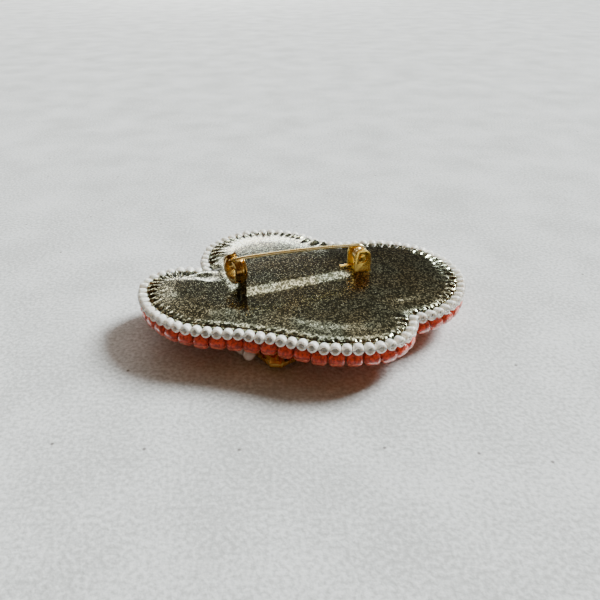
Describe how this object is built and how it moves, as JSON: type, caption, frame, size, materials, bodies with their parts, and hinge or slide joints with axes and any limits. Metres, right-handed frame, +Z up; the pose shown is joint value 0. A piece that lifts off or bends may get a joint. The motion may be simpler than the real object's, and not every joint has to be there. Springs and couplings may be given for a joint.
{
  "type": "beaded brooch",
  "caption": "Lobed beaded brooch lying on its front: metallic leather back, white seed-bead edge, orange-red glass beads, claw-set stone and a gold-tone bar pin with a turning safety lock.",
  "frame": {"origin": "on the table under the middle of the beaded edge", "axes": "+Z up out of the leather back, +X along the long way of the brooch, +Y away from the edge nearest the viewer in the picture"},
  "size_m": [0.0522, 0.0386, 0.0127],
  "materials": {
    "leather": "metallic foil over fine grain",
    "felt": "matt felt",
    "orange_glass": "polished",
    "white_glass": "opaque glass, satin",
    "gold_tone": "polished gold tone",
    "clear_glass": "faceted",
    "pearl": "pearl"
  },
  "bodies": {
    "brooch": {"leather_back": "leather", "felt_base": "felt", "bead_rows": "orange_glass", "edge_beads": "white_glass", "pin_base": "gold_tone", "stone_setting": "gold_tone", "stone": "clear_glass", "pearl_1": "pearl", "pearl_2": "pearl", "pearl_3": "pearl", "pearl_4": "pearl", "pearl_5": "pearl", "pearl_6": "pearl"},
    "wire": {"pin_wire": "gold_tone"},
    "lock": {"lock_sleeve": "gold_tone"}
  },
  "joints": [
    {"name": "pin_swing", "type": "hinge", "parent": "brooch", "child": "wire", "pos_m": [0.00909, 0.00317, 0.00935], "axis": [-0.342, 0.9397, 0], "range_deg": [0, 90]},
    {"name": "lock_turn", "type": "hinge", "parent": "brooch", "child": "lock", "pos_m": [-0.01051, -0.00396, 0.0106], "axis": [0.8192, 0.5736, 0], "range_deg": [0, 60]}
  ]
}
